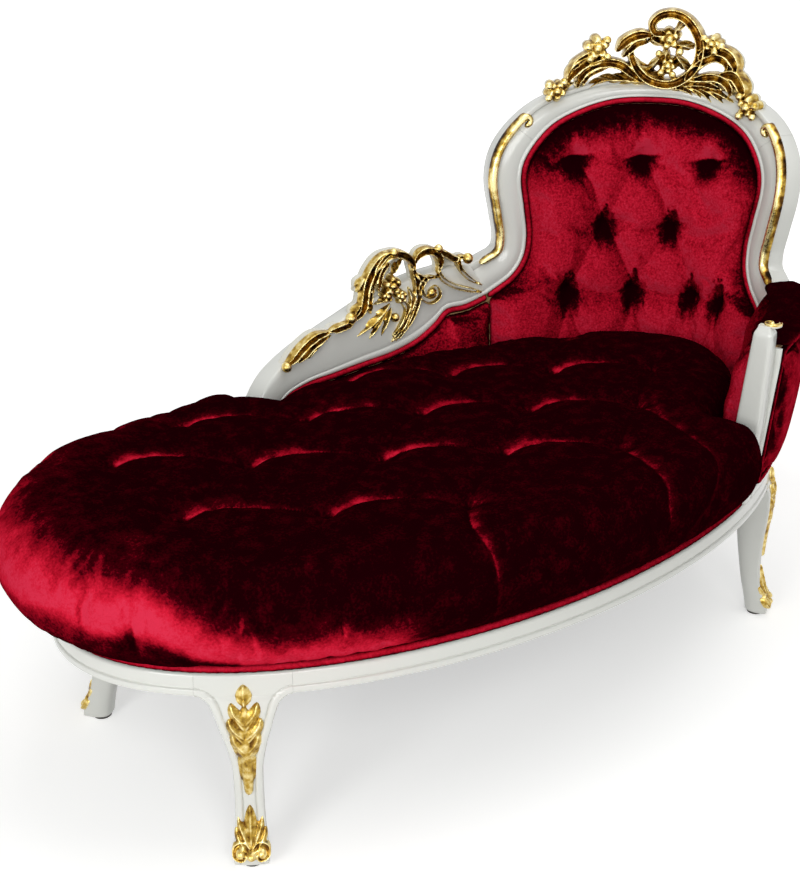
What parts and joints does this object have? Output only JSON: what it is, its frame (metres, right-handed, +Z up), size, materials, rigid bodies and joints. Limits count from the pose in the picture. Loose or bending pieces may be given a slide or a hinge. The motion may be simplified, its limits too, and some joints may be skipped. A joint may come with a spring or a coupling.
{
  "type": "fainting couch",
  "caption": "Oval fainting couch with a deep-buttoned velvet seat and back, a carved wing, a padded arm and cabriole legs.",
  "frame": {"origin": "on the floor, under the middle of the couch's bounding box", "axes": "+X from the foot to the head, +Y towards the rear side that carries the wing, +Z up"},
  "size_m": [1.5544, 0.8384, 1.0913],
  "materials": {
    "lacquer": "carved hardwood in glossy ivory white lacquer",
    "gilt": "carved wood in antique gold leaf, dark in the hollows and burnished on the ridges",
    "velvet": "crushed crimson velvet over padding",
    "bare_wood": "unfinished hardwood and board",
    "dust_cloth": "thin black woven dust cloth",
    "nylon": "dark nylon glide"
  },
  "bodies": {
    "root": {"arm_inside_pad": "velvet", "arm_outside_panel": "velvet", "arm_piping": "velvet", "arm_post": "lacquer", "arm_rail": "bare_wood", "arm_roll": "velvet", "arm_sill": "lacquer", "back_board": "bare_wood", "back_pad": "velvet", "back_piping": "velvet", "back_post_head": "bare_wood", "back_post_rear": "bare_wood", "bead_head": "gilt", "bead_rear": "gilt", "corner_block_foot_front": "bare_wood", "corner_block_foot_rear": "bare_wood", "corner_block_head_front": "bare_wood", "corner_block_head_rear": "bare_wood", "crest_carving": "gilt", "crest_rail": "lacquer", "dust_cover": "dust_cloth", "glide_foot_front": "nylon", "glide_foot_rear": "nylon", "glide_head_front": "nylon", "glide_head_rear": "nylon", "knee_leaf_foot_front": "gilt", "knee_leaf_foot_rear": "gilt", "knee_leaf_head_front": "gilt", "knee_leaf_head_rear": "gilt", "leg_foot_front": "lacquer", "leg_foot_rear": "lacquer", "leg_head_front": "lacquer", "leg_head_rear": "lacquer", "outside_back_panel": "velvet", "outside_wing_panel": "velvet", "seat_brace_foot": "bare_wood", "seat_brace_head": "bare_wood", "seat_brace_middle": "bare_wood", "seat_cushion": "velvet", "seat_deck": "bare_wood", "seat_piping": "velvet", "seat_rail_foot": "lacquer", "seat_rail_front": "lacquer", "seat_rail_head": "lacquer", "seat_rail_rear": "lacquer", "stile_head": "lacquer", "stile_rear": "lacquer", "wing_board": "bare_wood", "wing_carving": "gilt", "wing_pad": "velvet", "wing_piping": "velvet", "wing_rail": "lacquer"}
  },
  "joints": []
}
